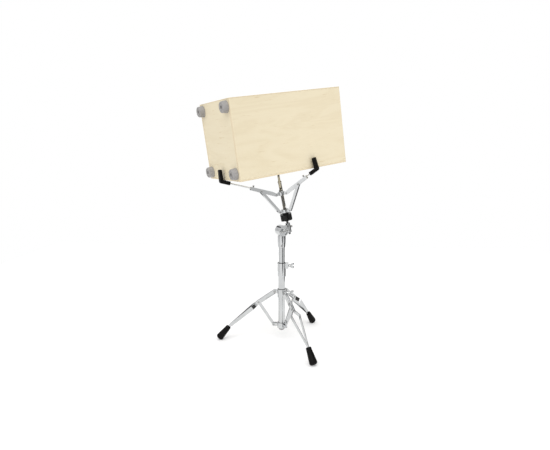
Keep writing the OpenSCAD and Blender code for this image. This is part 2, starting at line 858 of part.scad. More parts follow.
base_tube();
tube_plug();
strut_collar();
strut_collar_pins();
leg_collar();
leg_collar_wing_bolt();
leg_strips(LEFT_LEG);  // left_leg_strips
leg_strips(FRONT_LEG);  // front_leg_strips
leg_strips(REAR_LEG);  // rear_leg_strips
leg_rivets(LEFT_LEG);  // left_leg_rivets
leg_rivets(FRONT_LEG);  // front_leg_rivets
leg_rivets(REAR_LEG);  // rear_leg_rivets
boot(LEFT_LEG);  // left_boot
boot(FRONT_LEG);  // front_boot
boot(REAR_LEG);  // rear_boot
leg_strut(LEFT_LEG);  // left_leg_strut
leg_strut(FRONT_LEG);  // front_leg_strut
leg_strut(REAR_LEG);  // rear_leg_strut
tube_clamp();
clamp_bushing();
clamp_wing_bolt();
height_tube();
tilter_base();
tilter_base_screw();
tilter_head();
tilter_bolt();
tilter_wing_nut();
rod_screw();
basket_rod();
upper_hub();
upper_hub_pins();
rod_cap_nut();
lower_hub();
lower_hub_pins();
adjuster_nut();
arm(LEFT_ARM);  // left_arm
arm(FRONT_ARM);  // front_arm
arm(REAR_ARM);  // rear_arm
arm_fasteners(LEFT_ARM);  // left_arm_fasteners
arm_fasteners(FRONT_ARM);  // front_arm_fasteners
arm_fasteners(REAR_ARM);  // rear_arm_fasteners
arm_strut(LEFT_ARM);  // left_arm_strut
arm_strut(FRONT_ARM);  // front_arm_strut
arm_strut(REAR_ARM);  // rear_arm_strut
arm_rod(LEFT_ARM, left_tip_r);  // left_arm_rod
arm_rod(FRONT_ARM, side_tip_r);  // front_arm_rod
arm_rod(REAR_ARM, side_tip_r);  // rear_arm_rod
tip(LEFT_ARM, left_tip_r);  // left_tip
tip(FRONT_ARM, side_tip_r);  // front_tip
tip(REAR_ARM, side_tip_r);  // rear_tip
striking_panel();
port_panel();
side_panel(-box_w / 2);  // front_side_panel
side_panel(box_w / 2 - panel_t);  // rear_side_panel
end_panel(-box_l / 2);  // left_end_panel
end_panel(box_l / 2 - panel_t);  // right_end_panel
snare_wires();
box_feet();
box_screws();
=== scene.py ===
import json
from math import cos, pi, radians, sin

import bpy
from mathutils import Matrix, Vector

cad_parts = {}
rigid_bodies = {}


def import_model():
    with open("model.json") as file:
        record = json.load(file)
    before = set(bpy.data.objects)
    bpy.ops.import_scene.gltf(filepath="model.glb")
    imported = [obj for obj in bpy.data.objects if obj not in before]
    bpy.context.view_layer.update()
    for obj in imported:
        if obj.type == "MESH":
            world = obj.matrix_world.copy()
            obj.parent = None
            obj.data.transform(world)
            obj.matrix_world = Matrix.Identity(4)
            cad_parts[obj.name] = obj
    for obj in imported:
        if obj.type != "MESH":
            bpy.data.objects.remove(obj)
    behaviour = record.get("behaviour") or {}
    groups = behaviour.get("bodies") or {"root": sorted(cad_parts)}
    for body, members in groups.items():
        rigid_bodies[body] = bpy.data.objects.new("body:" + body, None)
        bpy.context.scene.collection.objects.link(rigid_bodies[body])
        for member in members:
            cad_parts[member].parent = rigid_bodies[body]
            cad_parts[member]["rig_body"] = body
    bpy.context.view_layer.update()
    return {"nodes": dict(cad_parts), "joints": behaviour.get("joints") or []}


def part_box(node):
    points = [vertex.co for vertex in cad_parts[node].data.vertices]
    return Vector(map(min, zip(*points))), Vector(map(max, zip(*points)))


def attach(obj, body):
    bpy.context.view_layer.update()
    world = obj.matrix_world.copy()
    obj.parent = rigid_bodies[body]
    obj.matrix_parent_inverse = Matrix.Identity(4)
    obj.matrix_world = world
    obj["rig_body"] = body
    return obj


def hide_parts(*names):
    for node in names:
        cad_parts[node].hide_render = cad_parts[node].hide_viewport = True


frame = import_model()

nodes = frame["nodes"]
joints = {joint["name"]: joint for joint in frame["joints"]}
scene = bpy.context.scene
MM = 0.001


# ======================================================================== studio
# A white floor in a white room, with a wide soft sun and two soft boxes. Dark cards that only
# polished metal picks up stand beside the stand, so that its tubes show their roundness.

scene.view_settings.view_transform = "Standard"
scene.view_settings.look = "None"


def only(*pieces):
    """Selects just these objects, and makes the last one active."""
    bpy.ops.object.select_all(action="DESELECT")
    for piece in pieces:
        piece.select_set(True)
    bpy.context.view_layer.objects.active = pieces[-1]


def add(tree, kind, inputs=None, **settings):
    """Adds a shader node. An input takes a number, a colour or another node's output."""
    made = tree.nodes.new("ShaderNode" + kind)
    for key, value in settings.items():
        setattr(made, key, value)
    for key, value in (inputs or {}).items():
        if isinstance(value, bpy.types.NodeSocket):
            tree.links.new(value, made.inputs[key])
        else:
            made.inputs[key].default_value = value
    return made


def bands(tree, value, stops):
    """A colour ramp through (place, colour) stops."""
    ramp = add(tree, "ValToRGB", {"Fac": value})
    places = ramp.color_ramp.elements
    while len(places) < len(stops):
        places.new(0.5)
    for element, (place, colour) in zip(places, stops):
        element.position = place
        element.color = (*colour, 1)
    return ramp.outputs["Color"]


def grey(level):
    return (level, level, level)


bpy.ops.object.camera_add(location=(0.1466, -1.9397, 0.8114),
                          rotation=(radians(90 - 8.7), 0, radians(4.0)))
camera = bpy.context.object
camera.data.sensor_width = 36
camera.data.lens = 30.76
scene.camera = camera

world = bpy.data.worlds.new("white_room")
world.use_nodes = True
scene.world = world
room = world.node_tree
room.nodes.clear()
height = add(room, "SeparateXYZ", {"Vector": add(room, "TexCoord").outputs["Generated"]})
level = add(room, "MapRange", {"Value": height.outputs["Z"], "From Min": -1, "From Max": 1})
walls = bands(room, level.outputs["Result"], [
    (0.32, grey(0.88)), (0.46, grey(0.84)), (0.56, grey(0.80)), (0.74, grey(1.0)), (0.92, grey(0.86))])
lit = add(room, "Background", {"Color": walls, "Strength": 0.92})
backdrop = add(room, "Background", {"Color": (1, 1, 1, 1), "Strength": 1.0})
picked = add(room, "MixShader", {"Fac": add(room, "LightPath").outputs["Is Camera Ray"]})
room.links.new(lit.outputs[0], picked.inputs[1])
room.links.new(backdrop.outputs[0], picked.inputs[2])
room.links.new(picked.outputs[0], room.nodes.new("ShaderNodeOutputWorld").inputs["Surface"])

bpy.ops.object.light_add(type="SUN", rotation=(radians(38), radians(-9), 0))
sun = bpy.context.object
sun.data.energy = 1.15
sun.data.angle = radians(50)

SOFT_BOXES = (("left", 5, 1.6, (-1.9, -1.7, 1.9)), ("right", 5, 1.2, (2.1, -1.0, 1.2)))
for side, watts, size, place in SOFT_BOXES:
    aim = Vector(place) - Vector((0, 0, 0.75))
    bpy.ops.object.light_add(type="AREA", location=place, rotation=aim.to_track_quat("Z", "Y").to_euler())
    bpy.context.object.name = side + "_soft_box"
    bpy.context.object.data.energy = watts
    bpy.context.object.data.size = size

bpy.ops.mesh.primitive_plane_add(size=4.2)
floor = bpy.context.object
floor.name = "floor"
paint = bpy.data.materials.new("floor_paint")
paint.use_nodes = True
paper = paint.node_tree
speck = add(paper, "TexNoise", {"Vector": add(paper, "TexCoord").outputs["Object"], "Scale": 3.0})
paper.links.new(bands(paper, speck.outputs["Fac"], [(0.3, grey(0.90)), (0.7, grey(0.93))]),
                paper.nodes["Principled BSDF"].inputs["Base Color"])
paper.nodes["Principled BSDF"].inputs["Roughness"].default_value = 0.95
paper.nodes["Principled BSDF"].inputs["Specular IOR Level"].default_value = 0.1
paper.nodes["Principled BSDF"].inputs["Emission Color"].default_value = (1, 1, 1, 1)
paper.nodes["Principled BSDF"].inputs["Emission Strength"].default_value = 0.10
floor.data.materials.append(paint)

CARDS = ((0.93, 0.38, 1.3), (-0.75, 0.95, 0.45), (0.67, -1.0, 0.65), (-1.1, -0.3, 0.15))
CARD_HEIGHT = 2.7
card_paint = bpy.data.materials.new("card_paint")
card_paint.use_nodes = True
card_paint.node_tree.nodes["Principled BSDF"].inputs["Base Color"].default_value = (0.06, 0.06, 0.06, 1)
card_paint.node_tree.nodes["Principled BSDF"].inputs["Roughness"].default_value = 1.0
for number, (x, y, width) in enumerate(CARDS):
    bpy.ops.mesh.primitive_plane_add(
        size=1, location=(x, y, 0.75), scale=(width, CARD_HEIGHT, 1),
        rotation=Vector((-x, -y, 0)).to_track_quat("Z", "Y").to_euler())
    card = bpy.context.object
    card.name = f"dark_card_{number}"
    card.dimensions = (width, CARD_HEIGHT, 0)
    card.data.materials.append(card_paint)
    card.visible_camera = card.visible_diffuse = card.visible_shadow = False
    card.visible_transmission = False


# ======================================================================== rubber boots
# Black moulded rubber, pushed over the joined ends of the two strips of each leg. Each is a cone
# with a round end, worn flat where it stands on the floor, and a raised rim round its socket.


def surface(name, slot, dark, light, scale, rough, bump, metallic=0.0, shine=0.5):
    """A finish whose colour, gloss and relief vary a little from place to place."""
    finish = bpy.data.materials.new(name)
    finish.use_nodes = True
    finish["slot"] = slot
    tree = finish.node_tree
    shader = tree.nodes["Principled BSDF"]
    shader.inputs["Metallic"].default_value = metallic
    shader.inputs["Specular IOR Level"].default_value = shine
    place = add(tree, "Mapping", {"Vector": add(tree, "TexCoord").outputs["Object"]})
    grain = add(tree, "TexNoise", {"Vector": place.outputs["Vector"], "Scale": scale, "Detail": 6.0})
    cloud = add(tree, "TexNoise", {"Vector": place.outputs["Vector"], "Scale": scale / 14, "Detail": 3.0})
    colour = bands(tree, cloud.outputs["Fac"], [(0.35, dark), (0.65, light)])
    tree.links.new(colour, shader.inputs["Base Color"])
    gloss = add(tree, "MapRange", {"Value": cloud.outputs["Fac"], "From Min": 0.3, "From Max": 0.7,
                                   "To Min": rough[0], "To Max": rough[1]})
    tree.links.new(gloss.outputs["Result"], shader.inputs["Roughness"])
    relief = add(tree, "Bump", {"Height": grain.outputs["Fac"], "Distance": bump * MM, "Strength": 0.6})
    tree.links.new(relief.outputs["Normal"], shader.inputs["Normal"])
    return finish


def turned(name, steps, sides=64):
    """A part turned on a lathe: a disc drawn out along Z through (height, radius) steps, in mm."""
    (reached, radius), *others = steps
    bpy.ops.object.select_all(action="DESELECT")
    bpy.ops.mesh.primitive_circle_add(vertices=sides, radius=radius * MM, fill_type="NGON",
                                      location=(0, 0, reached * MM))
    piece = bpy.context.object
    piece.name = name
    bpy.ops.object.mode_set(mode="EDIT")
    for z, r in others:
        bpy.ops.mesh.extrude_region_move(TRANSFORM_OT_translate={"value": (0, 0, (z - reached) * MM)})
        bpy.ops.transform.resize(value=(r / radius, r / radius, 1), center_override=(0, 0, 0))
        reached, radius = z, r
    bpy.ops.mesh.select_all(action="SELECT")
    bpy.ops.mesh.normals_make_consistent(inside=False)
    bpy.ops.object.mode_set(mode="OBJECT")
    bpy.ops.object.transform_apply(location=True, rotation=True, scale=True)
    return piece


def round_over(piece, width, segments=3, corner=35):
    """Takes the sharpness off a piece's edges, by a width in mm, and shades it smooth."""
    only(piece)
    if width:
        bevel = piece.modifiers.new("edges", "BEVEL")
        bevel.width = width * MM
        bevel.segments = segments
        bevel.limit_method = "ANGLE"
        bevel.angle_limit = radians(corner)
        bpy.ops.object.modifier_apply(modifier=bevel.name)
    bpy.ops.object.shade_smooth_by_angle(angle=radians(corner + 5))
    even = piece.modifiers.new("shading", "WEIGHTED_NORMAL")
    even.keep_sharp = True
    bpy.ops.object.modifier_apply(modifier=even.name)
    return piece


def looking(origin, z, x=(0, 0, 1)):
    """The place of a part in the model: its origin, its own Z, and roughly its own X."""
    z = Vector(z).normalized()
    y = z.cross(Vector(x)).normalized()
    place = Matrix((y.cross(z), y, z)).transposed().to_4x4()
    place.translation = origin
    return place


def copied(piece, name, place):
    """Another of the same piece, with its own mesh, put in its place."""
    other = bpy.data.objects.new(name, piece.data.copy())
    scene.collection.objects.link(other)
    other.data.transform(place)
    return other


def fitted(piece, body, finish, *stands_for):
    """Puts a finished piece on its body, in the place of the CAD nodes that it stands for."""
    if not piece.data.materials:
        piece.data.materials.append(finish)
    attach(piece, body)
    if stands_for:
        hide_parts(*stands_for)
    return piece


SIDES = ("left", "front", "rear")
ABOUT = {"left": radians(180), "front": radians(300), "rear": radians(60)}
column = Vector((*joints["tilt"]["pos_m"][:2], 0))

black_rubber = surface(
    "moulded_black_rubber", "black_rubber", (0.003, 0.003, 0.003), (0.006, 0.005, 0.005),
    900, (0.44, 0.60), 0.03, shine=0.10)

BOOT_TOP_R, BOOT_TOP_Z = 232 * MM, 59 * MM
BOOT_SLOPE = radians(50)
BOOT_CONE, BOOT_ROUND, BOOT_FLAT_R = 60.4, 8, 8
socket_rim = [(2.5, 8.2), (0, 8.4), (0, 9.6), (0.8, 10.6), (2.2, 11.0)]
groove = [(9, 11.4), (9.4, 11.0), (10.4, 11.0), (10.8, 11.6)]
round_end = [(BOOT_CONE + BOOT_ROUND * sin(radians(a)), BOOT_FLAT_R + BOOT_ROUND * cos(radians(a)))
             for a in range(0, 91, 15)]
boot_model = turned("boot_model", socket_rim + groove + round_end)
up = Vector((cos(BOOT_SLOPE), 0, -sin(BOOT_SLOPE)))
only(boot_model)
bpy.ops.object.mode_set(mode="EDIT")
bpy.ops.mesh.select_all(action="SELECT")
bpy.ops.mesh.bisect(plane_co=-BOOT_TOP_Z * up, plane_no=up, use_fill=True, clear_inner=True)
bpy.ops.object.mode_set(mode="OBJECT")
round_over(boot_model, 0.5, 2, 40)
for side in SIDES:
    outward = Vector((cos(ABOUT[side]), sin(ABOUT[side]), 0))
    place = looking(column + outward * BOOT_TOP_R + Vector((0, 0, BOOT_TOP_Z)),
                    outward * cos(BOOT_SLOPE) - Vector((0, 0, sin(BOOT_SLOPE))))
    fitted(copied(boot_model, side + "_rubber_boot", place), side + "_leg", black_rubber, side + "_boot")
bpy.data.objects.remove(boot_model)


# ======================================================================== legs
# Each leg is two pressed steel strips, chromed, that flare past the brace and come together in
# the boot. Domed steel rivets are the pivots at the collar and at the brace.


def eased(node, finish, width, segments=3, corner=35):
    """A pressed or cast part with its edges rounded over, in the place of its CAD node."""
    piece = bpy.data.objects.new(node + "_finished", nodes[node].data.copy())
    piece.data.materials.clear()
    scene.collection.objects.link(piece)
    only(piece)
    bpy.ops.mesh.customdata_custom_splitnormals_clear()
    bpy.ops.object.mode_set(mode="EDIT")
    bpy.ops.mesh.select_all(action="SELECT")
    bpy.ops.mesh.remove_doubles(threshold=0.005 * MM)
    bpy.ops.mesh.dissolve_limited(angle_limit=radians(0.5))
    bpy.ops.object.mode_set(mode="OBJECT")
    round_over(piece, width, segments, corner)
    return fitted(piece, nodes[node]["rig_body"], finish, node)


chrome = surface("polished_chrome", "chrome", (0.53, 0.54, 0.545), (0.59, 0.60, 0.605),
                 260, (0.05, 0.13), 0.012, metallic=1.0)
rivet_steel = surface("rivet_steel", "screw_steel", grey(0.30), grey(0.42),
                      700, (0.22, 0.38), 0.03, metallic=1.0)

for side in SIDES:
    eased(side + "_leg_strips", chrome, 0.35)
    eased(side + "_leg_rivets", rivet_steel, 0.7)


# ======================================================================== braces
# A flat chromed brace runs from each leg to the fixed collar at the foot of the column, which
# holds the three feet in forks with short riveted pins.

eased("strut_collar", chrome, 0.7)
eased("strut_collar_pins", rivet_steel, 0.5)
for side in SIDES:
    eased(side + "_leg_strut", chrome, 0.5)


# ======================================================================== leg collar
# A chromed casting that slides on the lower tube and carries the legs. Its black liner shows as a
# ring at the top, and a cast wing bolt locks it.


def winged(name, turned_steps, wing_from, span, reach):
    """A cast wing bolt or nut along Z, in mm: two ears drawn out of its turned hub along X."""
    parts = [turned(name, turned_steps, 48)]
    ear = 6
    for side in (-1, 1):
        for step in range(7):
            along = step / 6
            bpy.ops.mesh.primitive_uv_sphere_add(
                segments=24, ring_count=12, radius=(3.2 + (ear - 3.2) * along) * MM,
                location=(side * (3 + (span / 2 - ear - 3) * along) * MM, 0,
                          (wing_from + 1 + (reach - ear - 1) * along) * MM),
                scale=(1, 0.62 - 0.26 * along, 1))
            parts.append(bpy.context.object)
    only(*reversed(parts))
    bpy.ops.object.join()
    piece = bpy.context.object
    cast = piece.modifiers.new("cast", "REMESH")
    cast.mode = "VOXEL"
    cast.voxel_size = 0.45 * MM
    cast.use_smooth_shade = True
    bpy.ops.object.modifier_apply(modifier=cast.name)
    soft = piece.modifiers.new("soft", "SMOOTH")
    soft.factor = 0.5
    soft.iterations = 3
    bpy.ops.object.modifier_apply(modifier=soft.name)
    return piece


black_nylon = surface("black_nylon", "nylon", grey(0.008), grey(0.016), 500, (0.38, 0.52), 0.02, shine=0.32)

eased("leg_collar", chrome, 0.9)

LEG_COLLAR_TOP = 235
liner = turned("leg_collar_liner", [
    (LEG_COLLAR_TOP - 4, 14.5), (LEG_COLLAR_TOP + 1.6, 14.5), (LEG_COLLAR_TOP + 1.6, 16.2),
    (LEG_COLLAR_TOP, 17.2), (LEG_COLLAR_TOP - 4, 17.2), (LEG_COLLAR_TOP - 4, 14.6)])
liner.data.transform(Matrix.Translation(column))
fitted(round_over(liner, 0.4), "collar", black_nylon)

EAST = Vector((1, 0, 0))
LEG_BOLT_Z = joints["leg_collar_bolt_turn"]["pos_m"][2]
bolt = winged("leg_wing_bolt", [
    (14.5, 4), (26.9, 4), (26.9, 5.4), (28, 7), (35, 7), (36.4, 5.6), (36.9, 3)], 32, 30, 20)
bolt.data.transform(looking(column + Vector((0, 0, LEG_BOLT_Z)), EAST))
fitted(bolt, "collar_bolt", chrome, "leg_collar_wing_bolt")


# ======================================================================== column
# Two chromed steel tubes, one sliding in the other. The lower one is closed by a black plug, and
# wears a pressed clamp sleeve with a flange, a boss, a nylon bushing and a wing bolt.

TUBE_BOTTOM, TUBE_TOP = 60, 318
TUBE_R, TUBE_INNER_R = 14.3, 12.8
lower_tube = turned("lower_tube", [
    (TUBE_BOTTOM, TUBE_INNER_R), (TUBE_BOTTOM, TUBE_R), (TUBE_TOP, TUBE_R), (TUBE_TOP, TUBE_INNER_R),
    (200, TUBE_INNER_R)], 96)
lower_tube.data.transform(Matrix.Translation(column))
fitted(round_over(lower_tube, 0.4), "column", chrome, "base_tube")
eased("tube_plug", black_nylon, 0.6)

eased("tube_clamp", chrome, 0.8)
CLAMP_TOP = 350
bushing = turned("clamp_bushing_lip", [
    (CLAMP_TOP - 30, 12.9), (CLAMP_TOP + 1.4, 12.9), (CLAMP_TOP + 1.4, 14.6), (CLAMP_TOP, 15.3),
    (CLAMP_TOP - 30, 15.3), (CLAMP_TOP - 30, 13.0)])
bushing.data.transform(Matrix.Translation(column))
fitted(round_over(bushing, 0.35), "column", black_nylon, "clamp_bushing")

CLAMP_BOLT_Z = joints["clamp_bolt_turn"]["pos_m"][2]
bolt = winged("clamp_wing_bolt_cast", [
    (15.6, 4), (29.9, 4), (29.9, 5.4), (31, 6.6), (38, 6.6), (39.3, 5.2), (39.8, 3)], 35, 26, 18)
bolt.data.transform(looking(column + Vector((0, 0, CLAMP_BOLT_Z)), EAST))
fitted(bolt, "clamp_bolt", chrome, "clamp_wing_bolt")

SLIDER_BOTTOM, SLIDER_TOP = 135, 454
SLIDER_R, SLIDER_INNER_R = 12.7, 11.2
upper_tube = turned("upper_tube", [
    (SLIDER_BOTTOM, SLIDER_INNER_R), (SLIDER_BOTTOM, SLIDER_R), (SLIDER_TOP, SLIDER_R),
    (SLIDER_TOP, SLIDER_INNER_R), (300, SLIDER_INNER_R)], 96)
upper_tube.data.transform(Matrix.Translation(column))
fitted(round_over(upper_tube, 0.4), "upper_column", chrome, "height_tube")


# ======================================================================== tilter
# Two chromed castings that grip face to face on a steel bolt: the base with its neck on the upper
# tube, and the head with the boss for the basket rod. A cast wing nut closes them.

eased("tilter_base", chrome, 0.9)
eased("tilter_base_screw", rivet_steel, 0.6)
eased("tilter_head", chrome, 0.9)
eased("tilter_bolt", rivet_steel, 0.7)
eased("rod_screw", rivet_steel, 0.6)

tilt_axis = Vector(joints["tilt"]["axis"]).normalized()
basket_up = Vector(joints["basket_swivel"]["axis"]).normalized()
head_x = tilt_axis.cross(basket_up)
tilt_centre = Vector(joints["tilt"]["pos_m"])
nut = winged("tilter_wing_nut_cast", [(18.2, 7.5), (25.5, 7.5), (27, 5.8)], 21, 36, 13)
nut.data.transform(looking(tilt_centre, -tilt_axis, head_x))
fitted(nut, "tilter_nut", chrome, "tilter_wing_nut")


# ======================================================================== basket rod and hubs
# A steel rod, threaded over its whole length, carries the upper hub under a cap nut. The chromed
# lower hub slides on it, and the arms and braces pivot on pins through the tongues of both hubs.

# The rod's steel is the rivet steel's grey, painted darker still as painted shade between its threads.
steel_with_painted_thread_shade = surface("steel_with_painted_thread_shade", "screw_steel", grey(0.16), grey(0.26),
                         500, (0.28, 0.42), 0.03, metallic=1.0)

ROD_BOTTOM, ROD_TOP = -30, 163
ROD_R = 4.75
PITCH = 1.5
THREAD_DEPTH = 0.55

core = turned("threaded_rod", [
    (ROD_BOTTOM, ROD_R - 1), (ROD_BOTTOM + 0.8, ROD_R - THREAD_DEPTH + 0.1),
    (ROD_TOP - 0.8, ROD_R - THREAD_DEPTH + 0.1), (ROD_TOP, ROD_R - 1)], 32)
bpy.ops.object.select_all(action="DESELECT")
bpy.ops.mesh.primitive_circle_add(
    vertices=4, radius=PITCH / 2 * MM, rotation=(pi / 2, 0, 0),
    location=((ROD_R - THREAD_DEPTH) * MM, 0, (ROD_BOTTOM + 1.2) * MM))
thread = bpy.context.object
bpy.ops.object.mode_set(mode="EDIT")
bpy.ops.transform.resize(value=(THREAD_DEPTH / (PITCH / 2), 1, 1),
                         center_override=((ROD_R - THREAD_DEPTH) * MM, 0, 0))
bpy.ops.object.mode_set(mode="OBJECT")
bpy.ops.object.transform_apply(location=True, rotation=True, scale=True)
winding = thread.modifiers.new("winding", "SCREW")
winding.screw_offset = PITCH * MM
winding.iterations = int((ROD_TOP - ROD_BOTTOM - 3) / PITCH)
winding.steps = winding.render_steps = 20
winding.use_smooth_shade = False
bpy.ops.object.modifier_apply(modifier=winding.name)
bpy.ops.object.mode_set(mode="EDIT")
bpy.ops.mesh.select_all(action="SELECT")
bpy.ops.mesh.remove_doubles(threshold=0.001 * MM)
bpy.ops.mesh.fill_holes(sides=4)
bpy.ops.mesh.select_all(action="SELECT")
bpy.ops.mesh.normals_make_consistent(inside=False)
bpy.ops.object.mode_set(mode="OBJECT")
only(thread, core)
bpy.ops.object.join()
bpy.ops.object.shade_smooth_by_angle(angle=radians(30))
basket_base = Vector(joints["basket_swivel"]["pos_m"])
basket = looking(basket_base, basket_up, head_x)
core.data.transform(basket)
fitted(core, "basket", steel_with_painted_thread_shade, "basket_rod")

for hub in ("upper_hub", "lower_hub"):
    eased(hub, chrome, 0.9)
    eased(hub + "_pins", rivet_steel, 0.5)
eased("rod_cap_nut", chrome, 0.6)


# ======================================================================== adjuster nut
# A black moulded nut with six round lobes and a collar. Turned by hand under the lower hub, it
# pushes the hub up the rod and opens or closes the arms.

black_plastic = surface("moulded_black_plastic", "black_plastic", grey(0.004), grey(0.008),
                        600, (0.24, 0.36), 0.02, shine=0.22)
eased("adjuster_nut", black_plastic, 1.5, 4, 30)


# ======================================================================== basket arms
# Pressed chromed channels on the upper hub, braced from the lower one. Each holds a plain chromed
# rod that draws out and is locked by a square-headed screw.

for side in SIDES:
    eased(side + "_arm", chrome, 0.45)
    eased(side + "_arm_fasteners", rivet_steel, 0.45)
    eased(side + "_arm_strut", chrome, 0.45)

ARM_SLOPE = radians(27)
ROD_LIFT = 5
TIP_CORNER = {"left": 251.70, "front": 179.77, "rear": 179.77}
arm_frame = {}
for side in SIDES:
    along = Vector(joints[side + "_tip_draw"]["axis"]).normalized()
    across = Vector(joints[side + "_arm_open"]["axis"]).normalized()
    pivot = Vector(joints[side + "_arm_open"]["pos_m"])
    upward = along.cross(across)
    arm_frame[side] = looking(pivot + upward * ROD_LIFT * MM, upward, along)
    rod = turned(side + "_extension_rod", [
        (TIP_CORNER[side] - 141, 2.1), (TIP_CORNER[side] - 140.4, 2.75), (TIP_CORNER[side] - 2.4, 2.75),
        (TIP_CORNER[side] - 2, 2.3)], 40)
    rod.data.transform(arm_frame[side] @ looking((0, 0, 0), (1, 0, 0)))
    fitted(round_over(rod, 0), side + "_extension", chrome, side + "_arm_rod")


# ======================================================================== rubber tips
# Black moulded rubber elbows on the ends of the rods: the box rests on their short legs and is
# held between their uprights, which lean inward and get thinner towards the top.

TIP_WIDTH, TIP_THICK, TIP_TOP_THICK = 19, 15, 11.5
SHORT_LEG, UPRIGHT = 36, 46
lean = ARM_SLOPE - radians(6)
rise = Vector((sin(lean), 0, cos(lean)))
inner = Vector((-cos(lean), 0, sin(lean)))
mitre = TIP_THICK / 2 * cos(lean) / (1 + sin(lean))


def moved(piece, picked, offset):
    """In edit mode, moves the vertices that a test picks by an offset in mm."""
    bpy.ops.mesh.select_all(action="DESELECT")
    bpy.ops.object.mode_set(mode="OBJECT")
    for vertex in piece.data.vertices:
        vertex.select = picked(vertex.co / MM)
    bpy.ops.object.mode_set(mode="EDIT")
    bpy.ops.transform.translate(value=Vector(offset) * MM)


def picked_faces(piece, test):
    """In edit mode, selects the faces whose centre in mm and normal pass a test."""
    bpy.ops.mesh.select_all(action="DESELECT")
    bpy.ops.object.mode_set(mode="OBJECT")
    for face in piece.data.polygons:
        face.select = test(face.center / MM, face.normal)
    bpy.ops.object.mode_set(mode="EDIT")
    bpy.ops.mesh.select_mode(type="FACE")


bpy.ops.object.select_all(action="DESELECT")
bpy.ops.mesh.primitive_cube_add(size=1, location=(-SHORT_LEG / 2 * MM, 0, 0),
                                scale=(SHORT_LEG * MM, TIP_WIDTH * MM, TIP_THICK * MM))
elbow = bpy.context.object
elbow.name = "elbow_model"
bpy.ops.object.transform_apply(location=True, rotation=True, scale=True)
bpy.ops.object.mode_set(mode="EDIT")
bpy.ops.mesh.select_mode(type="VERT")
moved(elbow, lambda v: v.x > -1 and v.z > 0, (-mitre, 0, 0))
moved(elbow, lambda v: v.x > -1 and v.z < 0, (mitre, 0, 0))
picked_faces(elbow, lambda c, n: n.x > 0.3)
bpy.ops.mesh.extrude_region_move(TRANSFORM_OT_translate={"value": rise * UPRIGHT * MM})
bpy.ops.mesh.select_mode(type="VERT")
top = rise * UPRIGHT
inner_top = top + inner * TIP_TOP_THICK / 2
outer_top = top - inner * TIP_TOP_THICK / 2
moved(elbow, lambda v: v.z > UPRIGHT * cos(lean), inner_top - (top + Vector((-mitre, 0, TIP_THICK / 2))))
moved(elbow, lambda v: v.z > 20 and (v - outer_top).length < 16 and v.x > inner_top.x + 3,
      outer_top - (top + Vector((mitre, 0, -TIP_THICK / 2))))
bpy.ops.mesh.select_mode(type="EDGE")
for corner_x, corner_z, offset in ((mitre, -TIP_THICK / 2, 6.5), (-mitre, TIP_THICK / 2, 3.0)):
    bpy.ops.mesh.select_all(action="DESELECT")
    bpy.ops.object.mode_set(mode="OBJECT")
    for edge in elbow.data.edges:
        edge.select = all(abs(elbow.data.vertices[v].co.x / MM - corner_x) < 0.2
                          and abs(elbow.data.vertices[v].co.z / MM - corner_z) < 0.2 for v in edge.vertices)
    bpy.ops.object.mode_set(mode="EDIT")
    bpy.ops.mesh.bevel(offset=offset * MM, segments=6, affect="EDGES")
bpy.ops.mesh.select_all(action="SELECT")
bpy.ops.mesh.normals_make_consistent(inside=False)
bpy.ops.object.mode_set(mode="OBJECT")
round_over(elbow, 2.6, 4, 40)
for side in SIDES:
    place = arm_frame[side] @ Matrix.Translation((TIP_CORNER[side] * MM, 0, 0))
    fitted(copied(elbow, side + "_rubber_tip", place), side + "_extension", black_rubber, side + "_tip")
bpy.data.objects.remove(elbow)


# ======================================================================== box
# Birch ply boards glued up into a closed box: thick sides and ends, a thinner port panel below and
# a thin striking panel on top. The faces are clear-lacquered veneer and the edges show the plies.

box_up = Vector(joints["box_lift"]["axis"]).normalized()
box_long = tilt_axis.cross(box_up)
low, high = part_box("striking_panel")
BOX_L, BOX_W, BOX_H = 482, 290, 300
BOARD, SKIN, PORT_BOARD = 12, 3, 6
box_place = looking((low + high) / 2 - box_up * (BOX_H - SKIN) / 2 * MM, box_up, box_long)
to_box = box_place.inverted()


def box_coordinates(tree, stretch=(1, 1, 1)):
    """Object coordinates turned to the box's own length, width and height, then stretched."""
    turn = add(tree, "Mapping", {"Vector": add(tree, "TexCoord").outputs["Object"],
                                 "Rotation": to_box.to_euler(), "Location": to_box.translation})
    return add(tree, "Mapping", {"Vector": turn.outputs["Vector"], "Scale": stretch}).outputs["Vector"]


